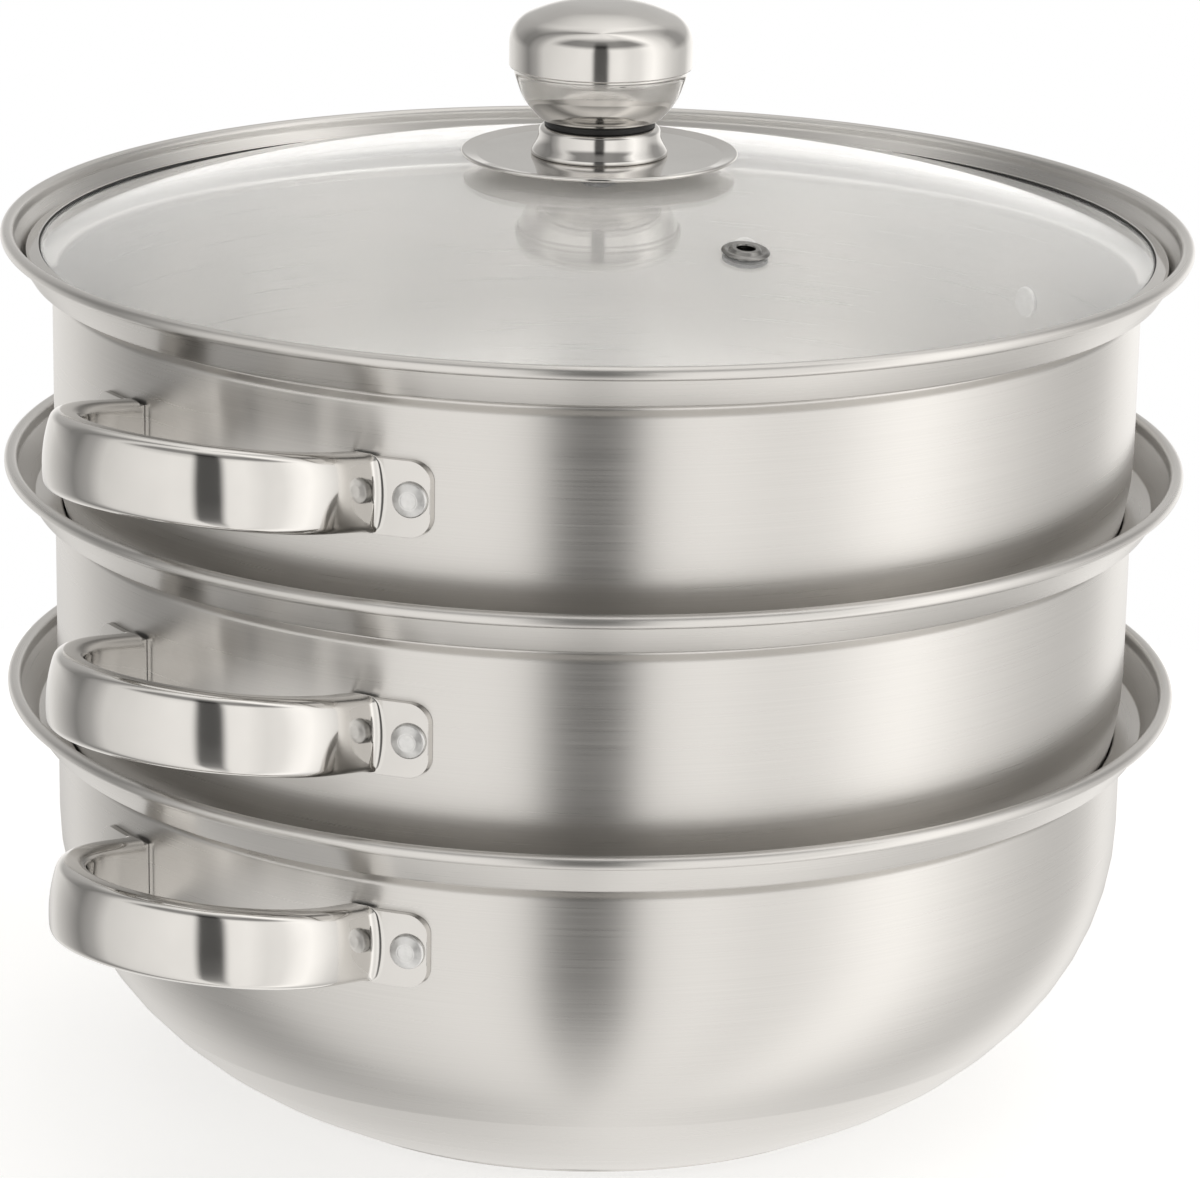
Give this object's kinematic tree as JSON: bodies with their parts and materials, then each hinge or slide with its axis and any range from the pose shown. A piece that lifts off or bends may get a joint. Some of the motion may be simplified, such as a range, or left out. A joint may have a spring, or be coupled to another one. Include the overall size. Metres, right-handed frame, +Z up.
{
  "type": "steamer pot",
  "caption": "Stacking steel steamer: a round bottomed pot, perforated steamer trays, a domed glass lid with a knob and a steam vent, and loop handles at both sides.",
  "frame": {"origin": "centre of the flat base on the surface that the pot stands on", "axes": "+Z up along the axis of the vessels, X through the handles, so a handle is at each of +X and -X"},
  "size_m": [0.3758, 0.306, 0.285],
  "materials": {
    "satin_steel": "fine satin turned steel sheet",
    "polished_steel": "polished pressed steel",
    "rivet_steel": "pale matt pressed rivet",
    "core_aluminium": "plain sheet",
    "clear_glass": "clear tempered glass",
    "black_plastic": "matt moulded plastic",
    "dark_silicone": "matt moulded silicone",
    "zinc_steel": "plated screw and washer"
  },
  "bodies": {
    "pot": {"pot_shell": "satin_steel", "pot_handle_left": "polished_steel", "pot_handle_right": "polished_steel", "pot_rivets": "rivet_steel", "base_cap": "satin_steel", "base_core": "core_aluminium"},
    "middle_tray": {"middle_tray_shell": "satin_steel", "middle_tray_handle_left": "polished_steel", "middle_tray_handle_right": "polished_steel", "middle_tray_rivets": "rivet_steel"},
    "top_tray": {"top_tray_shell": "satin_steel", "top_tray_handle_left": "polished_steel", "top_tray_handle_right": "polished_steel", "top_tray_rivets": "rivet_steel"},
    "lid": {"lid_glass": "clear_glass", "lid_rim_band": "polished_steel", "lid_rim_gasket": "dark_silicone", "vent_eyelet": "polished_steel", "vent_seal": "dark_silicone", "cushion_washer": "dark_silicone", "seal_washer": "dark_silicone", "screw_washer": "zinc_steel", "knob_skirt": "polished_steel", "knob_neck": "polished_steel", "knob_spacer": "black_plastic", "knob_bowl": "polished_steel", "knob_cap": "polished_steel", "knob_insert": "zinc_steel", "knob_screw": "zinc_steel"}
  },
  "joints": [
    {"name": "middle_tray_lift", "type": "slide", "parent": "pot", "child": "middle_tray", "axis": [0, 0, 1], "range_m": [0, 0.12]},
    {"name": "top_tray_lift", "type": "slide", "parent": "middle_tray", "child": "top_tray", "axis": [0, 0, 1], "range_m": [0, 0.12]},
    {"name": "lid_lift", "type": "slide", "parent": "top_tray", "child": "lid", "axis": [0, 0, 1], "range_m": [0, 0.12]}
  ]
}
